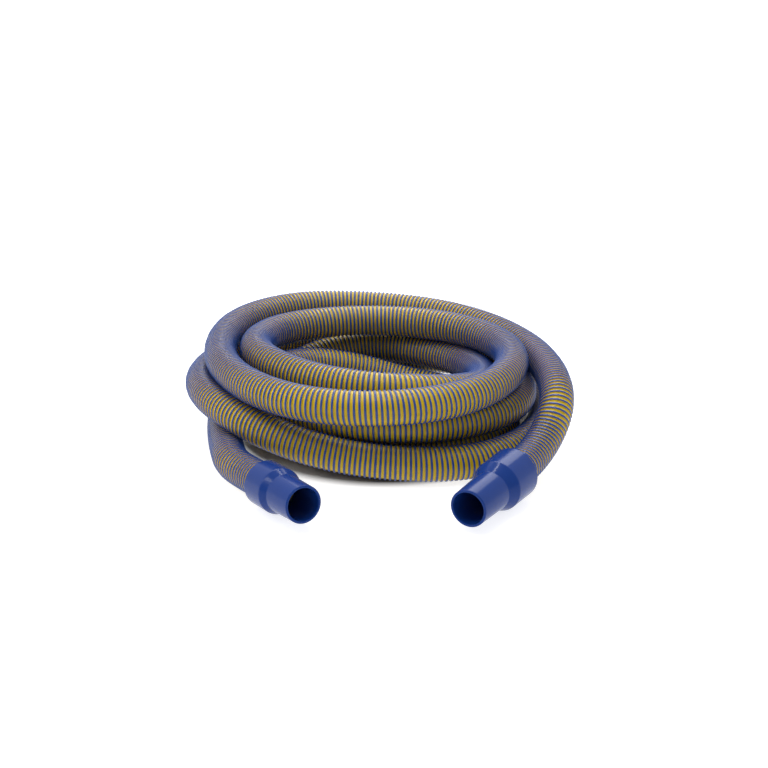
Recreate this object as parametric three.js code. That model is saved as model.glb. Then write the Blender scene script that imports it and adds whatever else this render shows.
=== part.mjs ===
// Pool vacuum hose, coiled on the floor: one corrugated hose with a moulded cuff on each end.
// Millimetres, +Z up, floor at z = 0. The middle of the whole part's outline stands at x = y = 0.
import * as THREE from 'three';

// Hose
const HOSE_OUTER_D = 47;
const HOSE_WALL = 4.5;
const HOSE_SIDES = 10;
const STEPS_PER_STATION = 2;

// What both cuffs share: the open end of the spigot and the fit on the hose
const CUFF_SIDES = 32;
const SPIGOT_RIM_D = 47.5;
const SPIGOT_RIM_WALL = 3.25;
const SLEEVE_EDGE = 1.2;
const FIT_GAP = 0.3;

// Each cuff's own sizes, and where it lies: rear end of the sleeve, heading of the mouth
// from +X, and its rise. The right one has the longer and wider sleeve.
const CUFF_LEFT = {
  sleeveRearD: 58.6,
  sleeveFrontD: 58.6,
  sleeveLength: 41,
  shoulderLength: 11,
  spigotRootD: 49.5,
  spigotLength: 50,
  seatDepth: 39,
  x: -148.7,
  y: -280.5,
  heading: -58.2,
  rise: 5.9,
};
const CUFF_RIGHT = {
  sleeveRearD: 66.8,
  sleeveFrontD: 65.2,
  sleeveLength: 48.5,
  shoulderLength: 17,
  spigotRootD: 51.2,
  spigotLength: 58.5,
  seatDepth: 45,
  x: 164.3,
  y: -259,
  heading: -121.3,
  rise: 0,
};

// The coil's centre in the part's frame
const COIL_CENTRE = new THREE.Vector3(13.9, 65.1, 0);

// The coil as it lies: [radius, height] of the hose's centreline at every 30 degrees,
// anticlockwise from above, from the right cuff's end to the left cuff's end
const STATION_ANGLE = 30;
const FIRST_ANGLE = -30;
const COIL = [
  [263, 92], [222, 97], [206, 102], [203, 108.5], [216, 111], [255, 114],
  [257, 114], [232, 108], [227, 110], [234, 108], [226, 108], [214, 108],
  [194, 110], [178, 112], [154, 112], [135, 113.5], [134, 113.5], [148, 114],
  [184, 113], [188, 115], [163, 113], [148, 108], [149, 107], [150, 96],
  [146, 80], [142, 70], [141, 68], [141, 65.5], [155, 68], [168, 64],
  [184, 36], [166, 23.5], [148, 23.5], [150, 23.5], [156, 23.5], [168, 23.5],
  [186, 23.5], [170, 23.5], [124, 23.5], [100, 26], [100, 36], [110, 54],
  [146, 69], [162, 73], [190, 64], [180, 68], [181, 67], [190, 64],
  [205, 65], [192, 62.5], [187, 60.5], [190, 64], [200, 68.5], [246, 69],
  [262, 66], [264, 69], [254, 77], [226, 46], [205, 25], [235, 23.5],
  [234, 23.5], [230, 23.5], [254, 23.5], [248, 23.5], [222, 23.5], [218, 23.5],
  [227, 23.5], [226, 23.5], [240, 23.5],
];

// Single places of the centreline between the coil and each cuff
const LEAD_RIGHT = [[216.5, -176, 50]];
const LEAD_LEFT = [[-210, -160, 23.5], [-200, -207, 24]];

const radians = THREE.MathUtils.degToRad;

// A smooth curve drawn towards its stations: a uniform cubic B-spline
class HosePath extends THREE.Curve {
  constructor(stations) {
    super();
    const first = stations[0];
    const last = stations[stations.length - 1];
    const before = first.clone().multiplyScalar(2).sub(stations[1]);
    const after = last.clone().multiplyScalar(2).sub(stations[stations.length - 2]);
    this.stations = [before, ...stations, after];
    this.spans = stations.length - 1;
  }

  getPoint(t, target = new THREE.Vector3()) {
    const place = Math.min(t * this.spans, this.spans);
    const span = Math.min(Math.floor(place), this.spans - 1);
    const u = place - span;
    const weights = [
      (1 - u) ** 3 / 6,
      (3 * u ** 3 - 6 * u ** 2 + 4) / 6,
      (-3 * u ** 3 + 3 * u ** 2 + 3 * u + 1) / 6,
      u ** 3 / 6,
    ];
    target.set(0, 0, 0);
    weights.forEach((weight, i) => target.addScaledVector(this.stations[span + i], weight));
    return target;
  }

  // Sections stand at equal shares of the stations, so that they line up from turn to turn
  getUtoTmapping(u) {
    return u;
  }
}

function cuffAxis(place) {
  const heading = radians(place.heading);
  const rise = radians(place.rise);
  return new THREE.Vector3(
    Math.cos(heading) * Math.cos(rise),
    Math.sin(heading) * Math.cos(rise),
    Math.sin(rise),
  );
}

// Centre of the sleeve's rear end, with the sleeve's lowest edge on the floor
function cuffRear(place) {
  const height = place.sleeveRearD / 2 * Math.cos(radians(place.rise));
  return new THREE.Vector3(place.x, place.y, height).add(COIL_CENTRE);
}

// Stations on a cuff's axis, from the hose's end in the cuff to as far behind the sleeve
function seatStations(place) {
  const reach = place.seatDepth - FIT_GAP;
  return [reach, 0, -reach].map((along) => cuffRear(place).addScaledVector(cuffAxis(place), along));
}

function coilStations() {
  // A B-spline runs inside a ring of stations, so the ring is drawn wider by this factor
  const pull = 3 / (2 + Math.cos(radians(STATION_ANGLE)));
  return COIL.map(([radius, height], i) => {
    const angle = radians(FIRST_ANGLE + i * STATION_ANGLE);
    return new THREE.Vector3(
      pull * radius * Math.cos(angle),
      pull * radius * Math.sin(angle),
      height,
    ).add(COIL_CENTRE);
  });
}

function leadStations(points) {
  return points.map((point) => new THREE.Vector3(...point).add(COIL_CENTRE));
}

function ring(diameter) {
  const points = [];
  for (let i = 0; i < HOSE_SIDES; i += 1) {
    const angle = 2 * Math.PI * i / HOSE_SIDES;
    points.push(new THREE.Vector2(Math.cos(angle), Math.sin(angle)).multiplyScalar(diameter / 2));
  }
  return points;
}

function hoseGeometry() {
  const path = new HosePath([
    ...seatStations(CUFF_RIGHT),
    ...leadStations(LEAD_RIGHT),
    ...coilStations(),
    ...leadStations(LEAD_LEFT),
    ...seatStations(CUFF_LEFT).reverse(),
  ]);
  const section = new THREE.Shape(ring(HOSE_OUTER_D));
  section.holes.push(new THREE.Path(ring(HOSE_OUTER_D - 2 * HOSE_WALL)));
  return new THREE.ExtrudeGeometry(section, {
    steps: path.spans * STEPS_PER_STATION,
    extrudePath: path,
  });
}

// Turned profile of a cuff: x is the radius, y runs from the sleeve's rear end to the mouth
function cuffGeometry(sizes) {
  const rear = sizes.sleeveRearD / 2;
  const front = sizes.sleeveFrontD / 2;
  const rim = SPIGOT_RIM_D / 2;
  const seat = HOSE_OUTER_D / 2 + FIT_GAP;
  const bore = rim - SPIGOT_RIM_WALL;
  const shoulderEnd = sizes.sleeveLength + sizes.shoulderLength;
  const mouth = shoulderEnd + sizes.spigotLength;
  const profile = [
    [seat, 0],
    [rear - SLEEVE_EDGE, 0],
    [rear, SLEEVE_EDGE],
    [front, sizes.sleeveLength - SLEEVE_EDGE],
    [front - SLEEVE_EDGE, sizes.sleeveLength],
    [sizes.spigotRootD / 2, shoulderEnd],
    [rim, mouth],
    [bore, mouth],
    [bore, sizes.seatDepth],
    [seat, sizes.seatDepth],
    [seat, 0],
  ].map(([x, y]) => new THREE.Vector2(x, y));
  return new THREE.LatheGeometry(profile, CUFF_SIDES);
}

function material(name, color, roughness) {
  return new THREE.MeshStandardMaterial({ name, color, roughness, metalness: 0 });
}

function hose() {
  const mesh = new THREE.Mesh(hoseGeometry(), material('hose_blue_yellow', '#a08c2c', 0.35));
  mesh.name = 'hose';
  return mesh;
}

function cuff(name, place) {
  const mesh = new THREE.Mesh(cuffGeometry(place), material('cuff_blue', '#1d3f8f', 0.25));
  const along = cuffAxis(place);
  const side = new THREE.Vector3().crossVectors(along, new THREE.Vector3(0, 0, 1)).normalize();
  const up = new THREE.Vector3().crossVectors(side, along);
  mesh.name = name;
  mesh.position.copy(cuffRear(place));
  mesh.quaternion.setFromRotationMatrix(new THREE.Matrix4().makeBasis(side, along, up));
  return mesh;
}

const part = new THREE.Group();
part.add(hose());
part.add(cuff('cuff_left', CUFF_LEFT));
part.add(cuff('cuff_right', CUFF_RIGHT));

export default part;
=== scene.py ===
"""Looks of a coiled pool vacuum hose: spirally wound in blue and yellow, with two moulded cuffs."""
import math

import bmesh
import bpy
from bpy.props import FloatProperty, FloatVectorProperty, IntProperty, PointerProperty
from mathutils import Matrix, Vector


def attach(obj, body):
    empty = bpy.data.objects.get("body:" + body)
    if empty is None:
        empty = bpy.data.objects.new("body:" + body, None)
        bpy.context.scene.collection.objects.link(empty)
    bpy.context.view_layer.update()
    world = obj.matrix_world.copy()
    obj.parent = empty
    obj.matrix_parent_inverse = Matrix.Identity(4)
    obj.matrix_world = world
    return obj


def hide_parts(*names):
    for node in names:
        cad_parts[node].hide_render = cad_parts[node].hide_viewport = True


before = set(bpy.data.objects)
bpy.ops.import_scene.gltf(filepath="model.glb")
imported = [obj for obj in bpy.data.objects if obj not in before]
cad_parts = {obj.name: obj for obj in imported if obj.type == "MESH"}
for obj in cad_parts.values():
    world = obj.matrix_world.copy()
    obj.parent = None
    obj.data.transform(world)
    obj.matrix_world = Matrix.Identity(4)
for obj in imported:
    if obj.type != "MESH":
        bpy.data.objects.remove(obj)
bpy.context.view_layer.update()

bl_info = {
    "name": "Pool vacuum hose",
    "version": (1, 0, 0),
    "blender": (4, 5, 0),
    "location": "3D View > Sidebar > Pool hose",
    "description": "Builds a coiled pool vacuum hose with its cuffs, and a plain studio for it",
    "category": "Object",
}

MM = 0.001

# Each cuff's own sizes in millimetres, and where it lies: rear end of the sleeve,
# heading of the mouth from +X, and its rise
CUFF_LEFT = {
    "sleeve_rear_d": 58.6,
    "sleeve_front_d": 58.6,
    "sleeve_length": 41,
    "shoulder_length": 11,
    "spigot_root_d": 49.5,
    "spigot_length": 50,
    "seat_depth": 39,
    "x": -148.7,
    "y": -280.5,
    "heading": -58.2,
    "rise": 5.9,
}
CUFF_RIGHT = {
    "sleeve_rear_d": 66.8,
    "sleeve_front_d": 65.2,
    "sleeve_length": 48.5,
    "shoulder_length": 17,
    "spigot_root_d": 51.2,
    "spigot_length": 58.5,
    "seat_depth": 45,
    "x": 164.3,
    "y": -259,
    "heading": -121.3,
    "rise": 0,
}
FIT_GAP = 0.3

# The coil's centre, and the coil as it lies: (radius, height) of the centreline every 30 degrees,
# anticlockwise from above, from the right cuff's end to the left cuff's end, in millimetres
COIL_CENTRE = (13.9, 65.1)
STATION_ANGLE = 30
FIRST_ANGLE = -30
COIL = (
    (263, 92), (222, 97), (206, 102), (203, 108.5), (216, 111), (255, 114),
    (257, 114), (232, 108), (227, 110), (234, 108), (226, 108), (214, 108),
    (194, 110), (178, 112), (154, 112), (135, 113.5), (134, 113.5), (148, 114),
    (184, 113), (188, 115), (163, 113), (148, 108), (149, 107), (150, 96),
    (146, 80), (142, 70), (141, 68), (141, 65.5), (155, 68), (168, 64),
    (184, 36), (166, 23.5), (148, 23.5), (150, 23.5), (156, 23.5), (168, 23.5),
    (186, 23.5), (170, 23.5), (124, 23.5), (100, 26), (100, 36), (110, 54),
    (146, 69), (162, 73), (190, 64), (180, 68), (181, 67), (190, 64),
    (205, 65), (192, 62.5), (187, 60.5), (190, 64), (200, 68.5), (246, 69),
    (262, 66), (264, 69), (254, 77), (226, 46), (205, 25), (235, 23.5),
    (234, 23.5), (230, 23.5), (254, 23.5), (248, 23.5), (222, 23.5), (218, 23.5),
    (227, 23.5), (226, 23.5), (240, 23.5),
)

# Single places of the centreline between the coil and each cuff
LEAD_RIGHT = ((216.5, -176, 50),)
LEAD_LEFT = ((-210, -160, 23.5), (-200, -207, 24))

# How finely the shapes are drawn
POINTS_PER_STATION = 12
RING_SPACING = 9 * MM
WEB_SIDES = 32
CUFF_SIDES = 96
CORNER_STEPS = 4
MERGE_DISTANCE = 0.01 * MM

# The bead's section: its crown's width as a share of its foot's, and its depth in the web.
# Each point of the bead stores its height over the web, as a share of the crown's, for the paint.
BEAD_TOP_SHARE = 0.54
BEAD_SINK = 0.3 * MM
HEIGHT_ATTRIBUTE = "bead_height"

# Plastics: the foot of the bead is yellow up to this share of its height, give or take the blend
FOOT_HEIGHT = 0.58
FOOT_BLEND = 0.08
PLASTIC_IOR = 1.49
NEUTRAL_SPECULAR = 0.5
PATCH_SIZE = 60 * MM
GLOSS_SPREAD = 0.15

# Floor: a square, in metres, that glows from a ring round the coil outwards: the glow is painted light
# that lifts its cast shadows, and inside the ring it is left dark as painted shade in the coil's gaps
FLOOR_HALF = 40.0
PAINTED_GLOW_START = 212 * MM
PAINTED_GLOW_FULL = 230 * MM
FLOOR_PAINTED_GLOW = 0.78

# World: its strength behind the object, and in front of it above the horizon
WORLD_STRENGTH = 1.25
FRONT_STRENGTH = 0.25

# Lights: name, place and the point faced in metres, width and height in metres, watts
SOFTBOXES = (
    ("overhead", (0.0, 0.1, 1.9), (0, 0, 0), (0.12, 2.0), 17),
    ("side", (-1.7, -0.3, 1.5), (0, 0, 0.05), (0.14, 1.4), 11),
    ("back", (0.3, 1.9, 1.6), (0, 0, 0.1), (2.4, 0.8), 24),
)
SENSOR_WIDTH_MM = 36


# Colours

def linear(hex_code):
    """An sRGB hex colour as the linear RGBA that shader sockets take."""
    channels = [int(hex_code[i:i + 2], 16) / 255 for i in (1, 3, 5)]
    return (*[c / 12.92 if c <= 0.04045 else ((c + 0.055) / 1.055) ** 2.4 for c in channels], 1.0)


# What a user may change

def size(name, description, value, low, high):
    """A length that a user may change, given in millimetres."""
    return FloatProperty(
        name=name, description=description, default=value * MM, min=low * MM, max=high * MM,
        unit="LENGTH", precision=4)


def colour(name, description, hex_code):
    return FloatVectorProperty(
        name=name, description=description, default=linear(hex_code)[:3],
        min=0, max=1, size=3, subtype="COLOR")


class HoseSettings(bpy.types.PropertyGroup):
    pitch: size("Winding pitch", "Distance from one turn of the bead to the next", 6.4, 3, 20)
    bead_width: size("Bead width", "Width of the raised bead at its foot", 4.3, 1, 15)
    crown_diameter: size("Crown diameter", "Outside diameter of the hose over its bead", 47, 20, 100)
    web_diameter: size("Web diameter", "Outside diameter of the web between the beads", 43.2, 18, 100)
    bore_diameter: size("Bore", "Inside diameter of the hose", 38, 10, 90)
    steps_per_turn: IntProperty(
        name="Steps per turn", description="Sections of the bead in one turn of the winding",
        default=20, min=8, max=64)
    bead_colour: colour("Bead colour", "Blue of the bead's crown", "#143c84")
    web_colour: colour("Web colour", "Yellow of the web and of the bead's foot", "#ccae14")


class CuffSettings(bpy.types.PropertyGroup):
    rim_diameter: size("Spigot rim", "Outside diameter of the spigots at the mouth", 47.5, 30, 120)
    rim_wall: size("Rim wall", "Wall of the spigots at the mouth", 3.25, 1, 15)
    edge: size("Edge", "How far from a corner its rounding begins", 1.2, 0.1, 4)
    colour: colour("Colour", "Blue of the moulded cuffs", "#113378")


class StageSettings(bpy.types.PropertyGroup):
    focal_length: FloatProperty(
        name="Focal length", description="Lens of the camera, in millimetres on a 36 mm sensor",
        default=60.0, min=10, max=200)
    camera_height: size("Camera height", "Height of the camera over the floor", 690, 50, 5000)
    camera_distance: size(
        "Camera distance", "How far the camera stands in front of the coil's centre", 1745, 300, 9000)
    camera_pitch: FloatProperty(
        name="Camera pitch", description="How far the camera looks down from level",
        default=math.radians(19.87), min=0, max=math.radians(89), subtype="ANGLE")


# Small helpers

def add_node(tree, kind, links=None, name=None, **settings):
    """Adds one node; settings are its properties, and links name an input and what feeds it."""
    node = tree.nodes.new(kind)
    if name:
        node.name = node.label = name
    for key, value in settings.items():
        setattr(node, key, value)
    for key, source in (links or {}).items():
        socket = node.inputs[key]
        if isinstance(source, bpy.types.NodeSocket):
            tree.links.new(source, socket)
        else:
            socket.default_value = source
    return node


def make_object(name, mesh):
    piece = bpy.data.objects.new(name, mesh)
    bpy.context.scene.collection.objects.link(piece)
    return piece


def shade_smooth(mesh):
    mesh.polygons.foreach_set("use_smooth", [True] * len(mesh.polygons))


def set_input(modifier, name, value):
    """Sets a modifier's input by the identifier of the tree's socket of that name."""
    sockets = modifier.node_group.interface.items_tree
    socket = next(s for s in sockets if s.name == name and s.in_out == "INPUT")
    modifier[socket.identifier] = value


def grown_mesh(piece, tree, inputs, name):
    """Runs a geometry tree on a piece and gives the result as a plain mesh object."""
    modifier = piece.modifiers.new(tree.name, "NODES")
    modifier.node_group = tree
    for key, value in inputs.items():
        set_input(modifier, key, value)
    evaluated = piece.evaluated_get(bpy.context.evaluated_depsgraph_get())
    mesh = bpy.data.meshes.new_from_object(evaluated)
    mesh.name = name
    return mesh


# The hose's route

def cuff_axis(place):
    heading = math.radians(place["heading"])
    rise = math.radians(place["rise"])
    return Vector((
        math.cos(heading) * math.cos(rise),
        math.sin(heading) * math.cos(rise),
        math.sin(rise),
    ))


def cuff_rear(place):
    """Centre of the sleeve's rear end, in metres, with the sleeve's lowest edge on the floor."""
    height = place["sleeve_rear_d"] / 2 * math.cos(math.radians(place["rise"]))
    return Vector((place["x"] + COIL_CENTRE[0], place["y"] + COIL_CENTRE[1], height)) * MM


def seat_stations(place):
    reach = place["seat_depth"] - FIT_GAP
    return [cuff_rear(place) + cuff_axis(place) * along * MM for along in (reach, 0, -reach)]


def coil_stations():
    # A B-spline runs inside a ring of stations, so the ring is drawn wider by this factor
    pull = 3 / (2 + math.cos(math.radians(STATION_ANGLE)))
    stations = []
    for i, (radius, height) in enumerate(COIL):
        angle = math.radians(FIRST_ANGLE + i * STATION_ANGLE)
        x = COIL_CENTRE[0] + pull * radius * math.cos(angle)
        y = COIL_CENTRE[1] + pull * radius * math.sin(angle)
        stations.append(Vector((x, y, height)) * MM)
    return stations


def lead_stations(points):
    return [Vector((x + COIL_CENTRE[0], y + COIL_CENTRE[1], z)) * MM for x, y, z in points]


def hose_points():
    """Points of the centreline: a uniform cubic B-spline drawn towards the stations."""
    stations = [
        *seat_stations(CUFF_RIGHT),
        *lead_stations(LEAD_RIGHT),
        *coil_stations(),
        *lead_stations(LEAD_LEFT),
        *reversed(seat_stations(CUFF_LEFT)),
    ]
    before = 2 * stations[0] - stations[1]
    after = 2 * stations[-1] - stations[-2]
    stations = [before, *stations, after]
    points = []
    for span in range(len(stations) - 3):
        for step in range(POINTS_PER_STATION):
            u = step / POINTS_PER_STATION
            weights = (
                (1 - u) ** 3 / 6,
                (3 * u ** 3 - 6 * u ** 2 + 4) / 6,
                (-3 * u ** 3 + 3 * u ** 2 + 3 * u + 1) / 6,
                u ** 3 / 6,
            )
            points.append(sum((w * p for w, p in zip(weights, stations[span:])), Vector()))
    points.append((stations[-3] + 4 * stations[-2] + stations[-1]) / 6)
    return points


def route_curve(points):
    """The centreline as a curve object, which the geometry trees follow."""
    curve = bpy.data.curves.new("hose_route", "CURVE")
    curve.dimensions = "3D"
    spline = curve.splines.new("POLY")
    spline.points.add(len(points) - 1)
    for place, point in zip(spline.points, points):
        place.co = (*point, 1.0)
    curve.twist_mode = "MINIMUM"
    return make_object("hose_route", curve)


# Geometry trees of the hose

def new_tree(name, inputs):
    """A geometry tree with a geometry in and out, and named inputs of (name, socket kind)."""
    tree = bpy.data.node_groups.new(name, "GeometryNodeTree")
    tree.interface.new_socket("Geometry", in_out="INPUT", socket_type="NodeSocketGeometry")
    for label, kind in inputs:
        tree.interface.new_socket(label, in_out="INPUT", socket_type=kind)
    tree.interface.new_socket("Geometry", in_out="OUTPUT", socket_type="NodeSocketGeometry")
    return tree, add_node(tree, "NodeGroupInput").outputs


def calculate(tree, operation, first, second=None):
    links = {0: first}
    if second is not None:
        links[1] = second
    return add_node(tree, "ShaderNodeMath", links, operation=operation).outputs[0]


def vector_math(tree, operation, first, second):
    key = "Scale" if operation == "SCALE" else 1
    links = {0: first, key: second}
    return add_node(tree, "ShaderNodeVectorMath", links, operation=operation).outputs[0]


def place_round_path(tree, curve, along, angle, radius):
    """A point beside the route: how far along it, turned round it by an angle, at a radius."""
    sample = add_node(
        tree, "GeometryNodeSampleCurve",
        {"Curves": curve, "Length": along}, mode="LENGTH", use_all_curves=True)
    tangent, normal = sample.outputs["Tangent"], sample.outputs["Normal"]
    binormal = vector_math(tree, "CROSS_PRODUCT", tangent, normal)
    across = vector_math(tree, "SCALE", normal, calculate(tree, "COSINE", angle))
    upward = vector_math(tree, "SCALE", binormal, calculate(tree, "SINE", angle))
    radial = vector_math(tree, "ADD", across, upward)
    offset = vector_math(tree, "SCALE", radial, radius)
    return vector_math(tree, "ADD", sample.outputs["Position"], offset), radial


def finish_tree(tree, geometry, material):
    realized = add_node(tree, "GeometryNodeRealizeInstances", {"Geometry": geometry})
    painted = add_node(tree, "GeometryNodeSetMaterial", {
        "Geometry": realized.outputs[0], "Material": material})
    add_node(tree, "NodeGroupOutput", {"Geometry": painted.outputs[0]})
    return tree


def bead_tree():
    """The raised bead: a helix wound round the route, with a rounded solid section."""
    tree, given = new_tree("Wound bead", (
        ("Pitch", "NodeSocketFloat"),
        ("Bead width", "NodeSocketFloat"),
        ("Crown radius", "NodeSocketFloat"),
        ("Web radius", "NodeSocketFloat"),
        ("Steps per turn", "NodeSocketInt"),
        ("Material", "NodeSocketMaterial"),
    ))
    route = given["Geometry"]
    length = add_node(tree, "GeometryNodeCurveLength", {"Curve": route}).outputs[0]
    turns = calculate(tree, "DIVIDE", length, given["Pitch"])
    steps = calculate(tree, "ROUND", calculate(tree, "MULTIPLY", turns, given["Steps per turn"]))
    line = add_node(tree, "GeometryNodeCurvePrimitiveLine", {"Start": (0, 0, 0), "End": (1, 0, 0)})
    stepped = add_node(
        tree, "GeometryNodeResampleCurve", {"Curve": line.outputs[0], "Count": steps}, mode="COUNT")
    share = add_node(tree, "GeometryNodeSplineParameter").outputs["Factor"]
    along = calculate(tree, "MULTIPLY", share, length)
    angle = calculate(tree, "MULTIPLY", calculate(tree, "MULTIPLY", share, turns), 2 * math.pi)
    place, radial = place_round_path(tree, route, along, angle, given["Web radius"])
    moved = add_node(tree, "GeometryNodeSetPosition", {
        "Geometry": stepped.outputs[0], "Position": place})
    turned = add_node(
        tree, "GeometryNodeSetCurveNormal", {"Curve": moved.outputs[0], "Normal": radial}, mode="FREE")

    # The section: four corners of an arch, rounded by smooth shading, with its foot sunk in the web
    height = calculate(tree, "SUBTRACT", given["Crown radius"], given["Web radius"])
    section = add_node(tree, "GeometryNodeCurvePrimitiveQuadrilateral", {
        "Bottom Width": given["Bead width"],
        "Top Width": calculate(tree, "MULTIPLY", given["Bead width"], BEAD_TOP_SHARE),
        "Height": calculate(tree, "ADD", height, BEAD_SINK),
        "Offset": 0.0,
    }, mode="TRAPEZOID")
    lift = calculate(tree, "MULTIPLY", calculate(tree, "SUBTRACT", height, BEAD_SINK), 0.5)
    raised = add_node(tree, "GeometryNodeTransform", {
        "Geometry": section.outputs[0],
        "Translation": add_node(tree, "ShaderNodeCombineXYZ", {"Y": lift}).outputs[0],
    })
    rolled = add_node(tree, "GeometryNodeTransform", {
        "Geometry": raised.outputs[0],
        "Rotation": (0, 0, -math.pi / 2),
    })
    position = add_node(tree, "GeometryNodeInputPosition").outputs[0]
    reach = add_node(tree, "ShaderNodeSeparateXYZ", {0: position}).outputs["X"]
    marked = add_node(tree, "GeometryNodeStoreNamedAttribute", {
        "Geometry": rolled.outputs[0],
        "Name": HEIGHT_ATTRIBUTE,
        "Value": calculate(tree, "DIVIDE", reach, height),
    }, data_type="FLOAT", domain="POINT")
    swept = add_node(tree, "GeometryNodeCurveToMesh", {
        "Curve": turned.outputs[0],
        "Profile Curve": marked.outputs[0],
        "Fill Caps": True,
    })
    smooth = add_node(tree, "GeometryNodeSetShadeSmooth", {
        "Geometry": swept.outputs[0], "Shade Smooth": True})
    return finish_tree(tree, smooth.outputs[0], given["Material"])


def web_tree():
    """The web and the bore as one closed wall: rings run down the outside and back up the bore."""
    tree, given = new_tree("Hose wall", (
        ("Web radius", "NodeSocketFloat"),
        ("Bore radius", "NodeSocketFloat"),
        ("Ring spacing", "NodeSocketFloat"),
        ("Sides", "NodeSocketInt"),
        ("Material", "NodeSocketMaterial"),
    ))
    route = given["Geometry"]
    length = add_node(tree, "GeometryNodeCurveLength", {"Curve": route}).outputs[0]
    spans = calculate(tree, "ROUND", calculate(tree, "DIVIDE", length, given["Ring spacing"]))
    rings = calculate(tree, "ADD", spans, 1)
    rows = calculate(tree, "ADD", calculate(tree, "MULTIPLY", rings, 2), 1)
    columns = calculate(tree, "ADD", given["Sides"], 1)
    grid = add_node(tree, "GeometryNodeMeshGrid", {
        "Size X": 1.0, "Size Y": 1.0, "Vertices X": columns, "Vertices Y": rows})
    index = add_node(tree, "GeometryNodeInputIndex").outputs[0]
    row = calculate(tree, "MODULO", index, rows)
    column = calculate(tree, "FLOOR", calculate(tree, "DIVIDE", index, rows))
    angle = calculate(tree, "MULTIPLY", calculate(tree, "DIVIDE", column, given["Sides"]), 2 * math.pi)

    # Rows up to the last ring are outside and the next ones are in the bore; the very last, which
    # the comparison finds half a row below it, closes the loop
    outside = calculate(tree, "LESS_THAN", row, rings)
    closing = calculate(tree, "GREATER_THAN", row, calculate(tree, "SUBTRACT", rows, 1.5))
    is_outer = calculate(tree, "ADD", outside, closing)
    back = calculate(tree, "SUBTRACT", calculate(tree, "SUBTRACT", rows, 2), row)
    ring = calculate(tree, "MAXIMUM", calculate(tree, "MINIMUM", row, back), 0)
    along = calculate(tree, "MULTIPLY", calculate(tree, "DIVIDE", ring, spans), length)
    wall = calculate(tree, "SUBTRACT", given["Web radius"], given["Bore radius"])
    radius = calculate(tree, "ADD", given["Bore radius"], calculate(tree, "MULTIPLY", wall, is_outer))
    place, _ = place_round_path(tree, route, along, angle, radius)
    moved = add_node(tree, "GeometryNodeSetPosition", {
        "Geometry": grid.outputs[0], "Position": place})
    merged = add_node(tree, "GeometryNodeMergeByDistance", {
        "Geometry": moved.outputs[0], "Distance": MERGE_DISTANCE})
    smooth = add_node(tree, "GeometryNodeSetShadeSmooth", {
        "Geometry": merged.outputs[0], "Shade Smooth": True})
    return finish_tree(tree, smooth.outputs[0], given["Material"])


# Materials

def new_material(name):
    made = bpy.data.materials.new(name)
    made.use_nodes = True
    made.node_tree.nodes.clear()
    return made, made.node_tree


def moulded_plastic(name, paint, dark, roughness, grain, bump, sheen):
    """A plastic with a slight change of tone and of gloss, and a fine uneven skin.

    The paint is a colour, or a function that gives the colour's socket in the material's tree.
    The sheen is the share of the mirror's strength at a right angle that its waxy skin keeps.
    """
    made, tree = new_material(name)
    coordinates = add_node(tree, "ShaderNodeTexCoord").outputs["Object"]
    patches = add_node(tree, "ShaderNodeTexNoise", {
        "Vector": coordinates, "Scale": 1 / PATCH_SIZE, "Detail": 3.0, "Roughness": 0.55})
    tone = add_node(tree, "ShaderNodeMapRange", {
        "Value": patches.outputs["Fac"],
        "From Min": 0.3, "From Max": 0.7, "To Min": 0.0, "To Max": dark})
    shaded = add_node(tree, "ShaderNodeMix", {
        "Factor": tone.outputs["Result"],
        "A": paint(tree) if callable(paint) else (*paint, 1.0),
        "B": (0.0, 0.0, 0.0, 1.0),
    }, data_type="RGBA")
    skin = add_node(tree, "ShaderNodeTexNoise", {
        "Vector": coordinates, "Scale": 1 / grain, "Detail": 1.0, "Roughness": 0.5})
    gloss = add_node(tree, "ShaderNodeMapRange", {
        "Value": skin.outputs["Fac"],
        "To Min": roughness * (1 - GLOSS_SPREAD), "To Max": roughness * (1 + GLOSS_SPREAD)})
    relief = add_node(tree, "ShaderNodeBump", {
        "Height": skin.outputs["Fac"], "Strength": 0.2, "Distance": bump})
    shader = add_node(tree, "ShaderNodeBsdfPrincipled", {
        "Base Color": shaded.outputs["Result"],
        "Roughness": gloss.outputs["Result"],
        "Normal": relief.outputs["Normal"],
        "IOR": PLASTIC_IOR,
        "Specular IOR Level": NEUTRAL_SPECULAR * sheen,
    })
    add_node(tree, "ShaderNodeOutputMaterial", {"Surface": shader.outputs["BSDF"]})
    return made


def bead_paint(tree, bead_colour, web_colour):
    """The bead's crown in its own blue, and its foot in the yellow of the web that it rises from."""
    height = add_node(tree, "ShaderNodeAttribute", attribute_name=HEIGHT_ATTRIBUTE).outputs["Fac"]
    share = add_node(tree, "ShaderNodeMapRange", {
        "Value": height, "From Min": FOOT_HEIGHT - FOOT_BLEND, "From Max": FOOT_HEIGHT + FOOT_BLEND})
    return add_node(tree, "ShaderNodeMix", {
        "Factor": share.outputs["Result"],
        "A": (*web_colour, 1.0),
        "B": (*bead_colour, 1.0),
    }, data_type="RGBA").outputs["Result"]


def blue_bead_material(bead_colour, web_colour):
    """Extruded EVA bead: glossy, so each crest carries a small highlight."""
    return moulded_plastic(
        "eva_bead_extruded_blue", lambda tree: bead_paint(tree, bead_colour, web_colour),
        dark=0.12, roughness=0.34, grain=12 * MM, bump=0.03 * MM, sheen=1.0)


def yellow_web_material(web_colour):
    """Extruded EVA web: a softer sheen than the bead, with its tone uneven from the winding."""
    return moulded_plastic(
        "eva_web_extruded_yellow", web_colour,
        dark=0.12, roughness=0.42, grain=12 * MM, bump=0.03 * MM, sheen=0.7)


def cuff_material(paint):
    """Injection-moulded soft PVC: smooth, with long and narrow but faint highlights."""
    return moulded_plastic(
        "pvc_cuff_moulded_blue", paint,
        dark=0.1, roughness=0.17, grain=15 * MM, bump=0.04 * MM, sheen=0.25)


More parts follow.
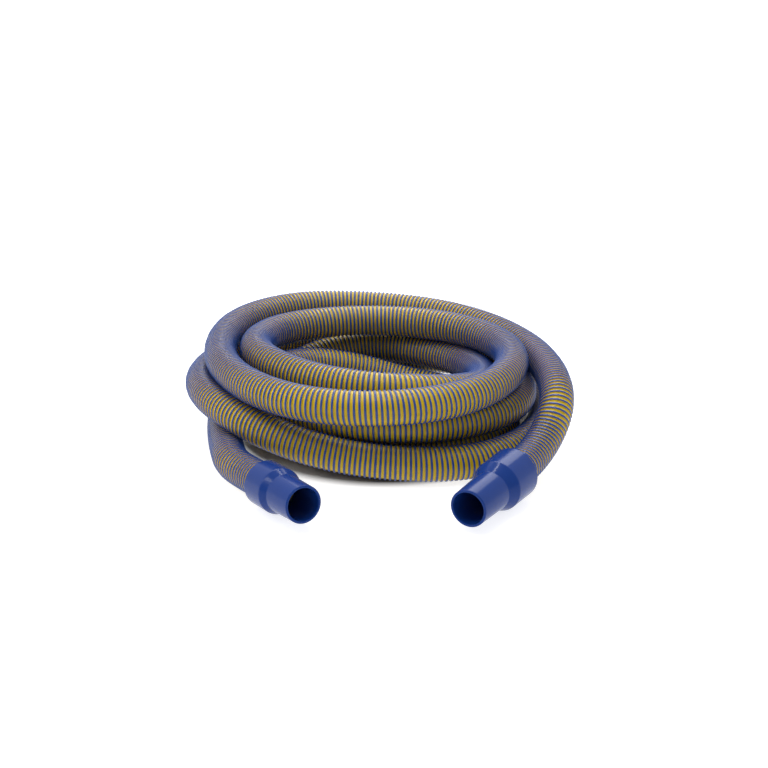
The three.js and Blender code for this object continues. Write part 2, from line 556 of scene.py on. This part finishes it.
def floor_material():
    """White floor with a painted glow that keeps its shadows faint, and no glow inside the coil, as
    painted shade there.
    """
    made, tree = new_material("studio_floor_painted_glow_and_shade")
    place = add_node(tree, "ShaderNodeTexCoord").outputs["Object"]
    centre = (COIL_CENTRE[0] * MM, COIL_CENTRE[1] * MM, 0)
    reach = add_node(tree, "ShaderNodeVectorMath", {0: place, 1: centre}, operation="DISTANCE")
    # Painted light and shade: the floor glows beyond a ring round the coil, which lifts the cast
    # shadows there, and it stays dark inside the ring as painted shade between the strands
    painted_glow = add_node(tree, "ShaderNodeMapRange", {
        "Value": reach.outputs["Value"],
        "From Min": PAINTED_GLOW_START, "From Max": PAINTED_GLOW_FULL, "To Min": 0.0, "To Max": FLOOR_PAINTED_GLOW})
    shader = add_node(tree, "ShaderNodeBsdfPrincipled", {
        "Base Color": linear("#c0c0c0"),
        "Roughness": 0.9,
        "Emission Color": linear("#ffffff"),
        "Emission Strength": painted_glow.outputs["Result"],
    })
    add_node(tree, "ShaderNodeOutputMaterial", {"Surface": shader.outputs["BSDF"]})
    return made


# Cuffs

def cuff_profile(place, settings, hose):
    """Half section of a cuff as (radius, distance from the sleeve's rear), closed, with eased edges."""
    rear = place["sleeve_rear_d"] / 2 * MM
    front = place["sleeve_front_d"] / 2 * MM
    root = place["spigot_root_d"] / 2 * MM
    rim = settings.rim_diameter / 2
    bore = rim - settings.rim_wall
    seat = hose.crown_diameter / 2 + FIT_GAP * MM
    depth = place["seat_depth"] * MM
    step = place["sleeve_length"] * MM
    foot = step + place["shoulder_length"] * MM
    mouth = foot + place["spigot_length"] * MM
    edge = settings.edge
    return eased((
        (seat, 0, edge / 4),
        (rear, 0, edge),
        (front, step, edge),
        (root, foot, edge / 2),
        (rim, mouth, edge),
        (bore, mouth, edge),
        (bore, depth, edge / 4),
        (seat, depth, edge / 4),
    ))


def eased(corners):
    """A closed outline from (x, y, reach) corners, each made a short curve that ends at its reach.

    A point a little beyond either end keeps the smooth shading of the curve off the flat faces.
    """
    outline = []
    for i, (x, y, reach) in enumerate(corners):
        corner = Vector((x, y))
        before = (Vector(corners[i - 1][:2]) - corner).normalized()
        after = (Vector(corners[(i + 1) % len(corners)][:2]) - corner).normalized()
        start, end = corner + before * reach, corner + after * reach
        curve = [
            start * (1 - t) ** 2 + corner * 2 * t * (1 - t) + end * t ** 2
            for t in (k / CORNER_STEPS for k in range(CORNER_STEPS + 1))
        ]
        hold = reach / 3
        outline += [start + before * hold, *curve, end + after * hold]
    return outline


def turned_mesh(name, profile, sides):
    """A closed half section turned round Y."""
    made = bmesh.new()
    rings = []
    for i in range(sides):
        angle = 2 * math.pi * i / sides
        rings.append([
            made.verts.new((r * math.sin(angle), y, r * math.cos(angle))) for r, y in profile
        ])
    count = len(profile)
    for i in range(sides):
        here, there = rings[i], rings[(i + 1) % sides]
        for j in range(count):
            k = (j + 1) % count
            made.faces.new((here[j], there[j], there[k], here[k]))
    bmesh.ops.recalc_face_normals(made, faces=made.faces)
    mesh = bpy.data.meshes.new(name)
    made.to_mesh(mesh)
    made.free()
    return mesh


def cuff_matrix(place):
    along = cuff_axis(place)
    side = along.cross(Vector((0, 0, 1))).normalized()
    up = side.cross(along)
    turn = Matrix((side, along, up)).transposed().to_4x4()
    return Matrix.Translation(cuff_rear(place)) @ turn


def make_cuff(name, place, settings, hose, material):
    mesh = turned_mesh(name, cuff_profile(place, settings, hose), CUFF_SIDES)
    mesh.transform(cuff_matrix(place))
    shade_smooth(mesh)
    mesh.materials.append(material)
    piece = make_object(name + "_moulded", mesh)
    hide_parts(name)
    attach(piece, "root")


# Operators

class HOSE_OT_camera(bpy.types.Operator):
    """Sets the camera where the photograph was taken from"""
    bl_idname = "pool_hose.camera"
    bl_label = "Camera"

    def execute(self, context):
        settings = context.scene.pool_hose_stage
        camera = bpy.data.cameras.new("camera")
        camera.sensor_width = SENSOR_WIDTH_MM
        camera.sensor_fit = "HORIZONTAL"
        camera.lens = settings.focal_length
        viewer = make_object("camera", camera)
        viewer.location = (
            COIL_CENTRE[0] * MM,
            COIL_CENTRE[1] * MM - settings.camera_distance,
            settings.camera_height,
        )
        viewer.rotation_euler = (math.pi / 2 - settings.camera_pitch, 0, 0)
        context.scene.camera = viewer
        return {"FINISHED"}


class HOSE_OT_hose(bpy.types.Operator):
    """Winds the hose along its route: the yellow web with its bore, and the blue bead round it"""
    bl_idname = "pool_hose.hose"
    bl_label = "Hose"

    def execute(self, context):
        settings = context.scene.pool_hose
        points = hose_points()
        route = route_curve(points)
        web_material = yellow_web_material(settings.web_colour)
        bead_material = blue_bead_material(settings.bead_colour, settings.web_colour)
        web_mesh = grown_mesh(route, web_tree(), {
            "Web radius": settings.web_diameter / 2,
            "Bore radius": settings.bore_diameter / 2,
            "Ring spacing": RING_SPACING,
            "Sides": WEB_SIDES,
            "Material": web_material,
        }, "hose_web")
        route.modifiers.clear()
        bead_mesh = grown_mesh(route, bead_tree(), {
            "Pitch": settings.pitch,
            "Bead width": settings.bead_width,
            "Crown radius": settings.crown_diameter / 2,
            "Web radius": settings.web_diameter / 2,
            "Steps per turn": settings.steps_per_turn,
            "Material": bead_material,
        }, "hose_bead")
        bpy.data.objects.remove(route)
        web = make_object("hose_web", web_mesh)
        bead = make_object("hose_bead", bead_mesh)
        for piece in (web, bead):
            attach(piece, "root")
            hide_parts("hose")
        return {"FINISHED"}


class HOSE_OT_cuffs(bpy.types.Operator):
    """Turns the two moulded cuffs and sets them on the hose's ends"""
    bl_idname = "pool_hose.cuffs"
    bl_label = "Cuffs"

    def execute(self, context):
        settings = context.scene.pool_hose_cuffs
        hose = context.scene.pool_hose
        material = cuff_material(settings.colour)
        make_cuff("cuff_left", CUFF_LEFT, settings, hose, material)
        make_cuff("cuff_right", CUFF_RIGHT, settings, hose, material)
        return {"FINISHED"}


class HOSE_OT_stage(bpy.types.Operator):
    """Lays a pale floor and hangs soft studio lights"""
    bl_idname = "pool_hose.stage"
    bl_label = "Stage"

    def execute(self, context):
        scene = context.scene
        floor = bpy.data.meshes.new("floor")
        turns = ((-1, -1), (1, -1), (1, 1), (-1, 1))
        corners = [(x * FLOOR_HALF, y * FLOOR_HALF, 0) for x, y in turns]
        floor.from_pydata(corners, [], [(0, 1, 2, 3)])
        floor.materials.append(floor_material())
        make_object("floor", floor)
        scene.world = studio_world()
        for box in SOFTBOXES:
            add_softbox(*box)
        scene.view_settings.view_transform = "Standard"
        return {"FINISHED"}


def studio_world():
    """White all round, but dimmer above the horizon in front, where the dark of the room stands."""
    world = bpy.data.worlds.new("studio")
    world.use_nodes = True
    tree = world.node_tree
    direction = add_node(tree, "ShaderNodeTexCoord").outputs["Generated"]
    parts = add_node(tree, "ShaderNodeSeparateXYZ", {0: direction}).outputs
    depth = add_node(tree, "ShaderNodeMapRange", {
        "Value": parts["Y"], "From Min": -0.8, "From Max": 0.3,
        "To Min": FRONT_STRENGTH, "To Max": WORLD_STRENGTH})
    horizon = add_node(tree, "ShaderNodeMapRange", {
        "Value": parts["Z"], "From Min": 0.05, "From Max": 0.1,
        "To Min": WORLD_STRENGTH, "To Max": 0.0})
    light = calculate(tree, "MAXIMUM", depth.outputs["Result"], horizon.outputs["Result"])
    background = tree.nodes["Background"]
    background.inputs["Color"].default_value = linear("#ffffff")
    tree.links.new(light, background.inputs["Strength"])
    return world


def add_softbox(name, place, target, sides, power):
    lamp = bpy.data.lights.new(name, "AREA")
    lamp.shape = "RECTANGLE"
    lamp.size, lamp.size_y = sides
    lamp.energy = power
    light = make_object(name, lamp)
    light.location = place
    light.rotation_euler = (Vector(target) - Vector(place)).to_track_quat("-Z", "Y").to_euler()


class HOSE_PT_panel(bpy.types.Panel):
    """Lists the sizes, the colours and the steps that build the hose"""
    bl_idname = "HOSE_PT_panel"
    bl_label = "Pool hose"
    bl_space_type = "VIEW_3D"
    bl_region_type = "UI"
    bl_category = "Pool hose"

    def draw(self, context):
        scene = context.scene
        for group in (scene.pool_hose, scene.pool_hose_cuffs, scene.pool_hose_stage):
            column = self.layout.column()
            for name in group.bl_rna.properties.keys():
                if name not in ("rna_type", "name"):
                    column.prop(group, name)
        for operator in OPERATORS:
            self.layout.operator(operator.bl_idname)


OPERATORS = (HOSE_OT_camera, HOSE_OT_cuffs, HOSE_OT_hose, HOSE_OT_stage)
CLASSES = (HoseSettings, CuffSettings, StageSettings, *OPERATORS, HOSE_PT_panel)


def register():
    for made in CLASSES:
        bpy.utils.register_class(made)
    bpy.types.Scene.pool_hose = PointerProperty(type=HoseSettings)
    bpy.types.Scene.pool_hose_cuffs = PointerProperty(type=CuffSettings)
    bpy.types.Scene.pool_hose_stage = PointerProperty(type=StageSettings)


def unregister():
    del bpy.types.Scene.pool_hose_stage
    del bpy.types.Scene.pool_hose_cuffs
    del bpy.types.Scene.pool_hose
    for made in reversed(CLASSES):
        bpy.utils.unregister_class(made)


def main():
    register()
    bpy.ops.pool_hose.camera()
    bpy.ops.pool_hose.cuffs()
    bpy.ops.pool_hose.hose()
    bpy.ops.pool_hose.stage()


if __name__ == "__main__":
    main()
